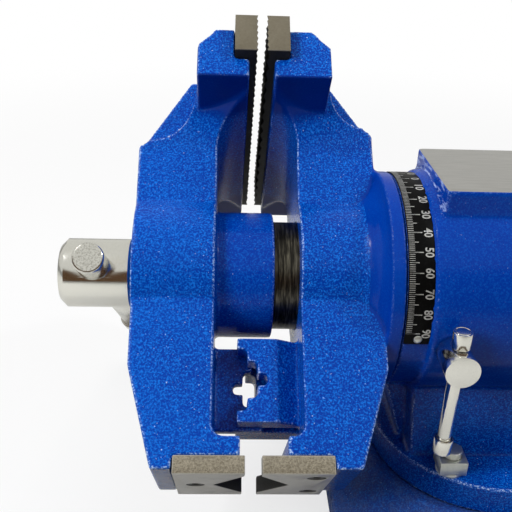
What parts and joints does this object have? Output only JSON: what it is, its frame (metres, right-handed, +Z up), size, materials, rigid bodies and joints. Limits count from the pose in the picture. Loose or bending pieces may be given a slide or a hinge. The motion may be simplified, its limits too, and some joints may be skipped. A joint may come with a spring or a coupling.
{
  "type": "multipurpose bench vise",
  "caption": "Bench vise on a swivel base with anvil and a rotating head: serrated flat jaws on one side, V plates and stepped pipe jaws on the other.",
  "frame": {"origin": "on the swivel axis at the base's underside, at the centre of the bench bolt holes", "axes": "+X along the spindle from the handle to the anvil, +Z up, -Y on the side of the head lock"},
  "size_m": [0.321, 0.234, 0.2614],
  "materials": {
    "blue_paint": "hammertone enamel on cast iron",
    "ground_steel": "ground tool steel",
    "plated_steel": "bright plated steel",
    "black_steel": "black oxide",
    "black_tube": "blackened turned steel",
    "scale_black": "black strip with white graduations",
    "bronze": "cast bronze",
    "zinc_steel": "zinc plated"
  },
  "bodies": {
    "base": {"swivel_base": "blue_paint"},
    "turret": {"body": "blue_paint", "pivot_bolt": "black_steel", "pivot_washer": "zinc_steel", "clamp_bolts": "zinc_steel", "clamp_washers": "zinc_steel", "angle_scale": "scale_black", "scale_rivets": "zinc_steel", "clamp_shoe": "bronze"},
    "nut_near": {"clamp_nut_near": "zinc_steel"},
    "nut_far": {"clamp_nut_far": "zinc_steel"},
    "lock_screw": {"head_lock_screw": "plated_steel"},
    "lock_handle": {"lock_bar": "plated_steel", "lock_knobs": "plated_steel"},
    "head": {"static_jaw": "blue_paint", "head_retainer": "black_steel", "retainer_bolts": "black_steel", "screw_nut": "bronze", "nut_key": "black_steel", "rear_jaw_plate": "ground_steel", "rear_jaw_screws": "black_steel", "rear_v_plate": "ground_steel", "rear_v_screws": "black_steel"},
    "jaw": {"dynamic_jaw": "blue_paint", "slide_tube": "black_tube", "front_jaw_plate": "ground_steel", "front_jaw_screws": "black_steel", "front_v_plate": "ground_steel", "front_v_screw": "black_steel"},
    "screw": {"spindle": "plated_steel", "thrust_washer": "zinc_steel", "spindle_collar": "black_steel", "collar_pin": "black_steel"},
    "handle": {"handle_bar": "plated_steel", "handle_knobs": "plated_steel"}
  },
  "joints": [
    {"name": "body_swivel", "type": "hinge", "parent": "base", "child": "turret", "pos_m": [0, 0, 0.031], "axis": [0, 0, 1], "continuous": true},
    {"name": "head_turn", "type": "hinge", "parent": "turret", "child": "head", "pos_m": [0, 0, 0.136], "axis": [1, 0, 0], "continuous": true},
    {"name": "jaw_slide", "type": "slide", "parent": "head", "child": "jaw", "axis": [1, 0, 0], "range_m": [-0.126, 0.0042]},
    {"name": "spindle_turn", "type": "hinge", "parent": "jaw", "child": "screw", "pos_m": [-0.133, 0, 0.136], "axis": [1, 0, 0], "range_deg": [-9080, 305]},
    {"name": "handle_slide", "type": "slide", "parent": "screw", "child": "handle", "axis": [0, -0.766, 0.6428], "range_m": [0, 0.1315]},
    {"name": "lock_turn", "type": "hinge", "parent": "turret", "child": "lock_screw", "pos_m": [-0.043, -0.066, 0.128], "axis": [0, -1, 0], "range_deg": [-20, 160]},
    {"name": "lock_bar_slide", "type": "slide", "parent": "lock_screw", "child": "lock_handle", "axis": [0, 0, 1], "range_m": [0, 0.035]},
    {"name": "nut_near_turn", "type": "hinge", "parent": "turret", "child": "nut_near", "pos_m": [-0.03, -0.047, 0.053], "axis": [0, 0, 1], "range_deg": [0, 180]},
    {"name": "nut_far_turn", "type": "hinge", "parent": "turret", "child": "nut_far", "pos_m": [0.03, 0.047, 0.053], "axis": [0, 0, 1], "range_deg": [0, 180]}
  ],
  "couplings": [
    {"joint": "spindle_turn", "follows": "jaw_slide", "rad_per_m": 1256.6}
  ]
}
